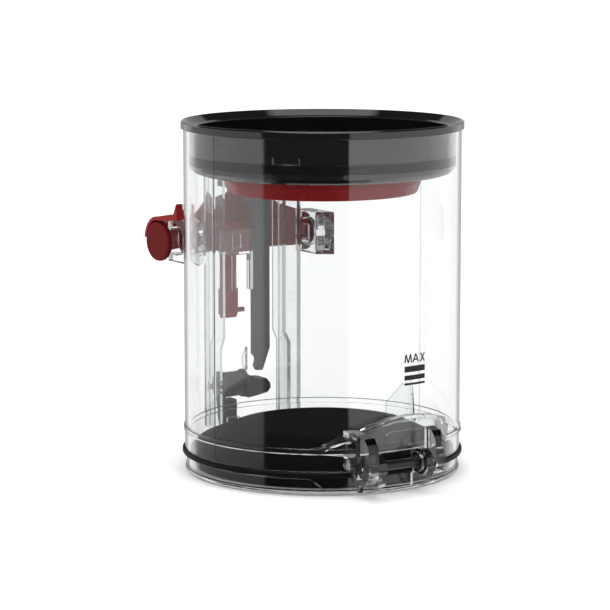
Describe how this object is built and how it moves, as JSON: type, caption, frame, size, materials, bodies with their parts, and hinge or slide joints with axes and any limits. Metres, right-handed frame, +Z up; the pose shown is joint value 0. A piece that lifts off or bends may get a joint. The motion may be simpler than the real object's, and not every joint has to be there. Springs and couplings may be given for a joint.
{
  "type": "vacuum cleaner dust bin",
  "caption": "Clear cylindrical dust bin of a cyclonic vacuum cleaner, with a black collar, a hinged bottom door and a red release lever that works a catch.",
  "frame": {"origin": "on the tube's axis, at the flat underside of the closed bottom door", "axes": "+Z up along the tube towards the open collar, +Y towards the back where the release lever runs, -Y towards the door hinge"},
  "size_m": [0.12, 0.1529, 0.1495],
  "materials": {
    "clear_polycarbonate": "clear moulded polycarbonate, polished",
    "black_abs": "moulded, semi-gloss",
    "red_abs": "moulded, semi-gloss deep red",
    "grey_acetal": "moulded, dark grey, satin",
    "black_rubber": "moulded, matt",
    "dark_steel": "drawn wire and ground pin, darkened",
    "black_ink": "pad-printed ink"
  },
  "bodies": {
    "bin": {"clear_tube": "clear_polycarbonate", "hinge_hood": "clear_polycarbonate", "hinge_ear_left": "clear_polycarbonate", "hinge_ear_right": "clear_polycarbonate", "rail_wall_left": "clear_polycarbonate", "rail_wall_right": "clear_polycarbonate", "guide_rib_left": "clear_polycarbonate", "guide_rib_right": "clear_polycarbonate", "guide_bridge": "clear_polycarbonate", "guide_finger": "clear_polycarbonate", "wing_block_left": "clear_polycarbonate", "wing_block_right": "clear_polycarbonate", "top_collar": "black_abs", "collar_seal": "black_rubber", "wiper_ring": "red_abs", "fill_mark": "black_ink", "hinge_pin": "dark_steel", "hinge_spacer": "clear_polycarbonate", "catch_pin": "dark_steel"},
    "lever": {"release_lever": "red_abs", "thumb_pad_left": "red_abs", "thumb_pad_right": "red_abs"},
    "rod": {"push_rod": "grey_acetal"},
    "catch": {"catch_lever": "grey_acetal", "catch_spring": "dark_steel"},
    "door": {"door_panel": "clear_polycarbonate", "floor_pad": "black_abs", "door_seal": "black_rubber", "door_knuckle_left": "black_abs", "door_knuckle_right": "black_abs", "door_arm_left": "clear_polycarbonate", "door_arm_right": "clear_polycarbonate", "latch_lug": "clear_polycarbonate"}
  },
  "joints": [
    {"name": "lever_slide", "type": "slide", "parent": "bin", "child": "lever", "axis": [0, 0, -1], "range_m": [0, 0.0042], "stiffness_N_per_m": 400, "springref_m": -0.01},
    {"name": "rod_slide", "type": "slide", "parent": "bin", "child": "rod", "axis": [0, 0, -1], "range_m": [0, 0.0043]},
    {"name": "catch_turn", "type": "hinge", "parent": "bin", "child": "catch", "pos_m": [0, 0.066, 0.027], "axis": [1, 0, 0], "range_deg": [0, 14.2]},
    {"name": "door_swing", "type": "hinge", "parent": "bin", "child": "door", "pos_m": [0, -0.065, 0.013], "axis": [-1, 0, 0], "range_deg": [0, 95]}
  ],
  "couplings": [
    {"joint": "rod_slide", "follows": "lever_slide", "ratio": 1},
    {"joint": "catch_turn", "follows": "lever_slide", "rad_per_m": 58.178}
  ]
}
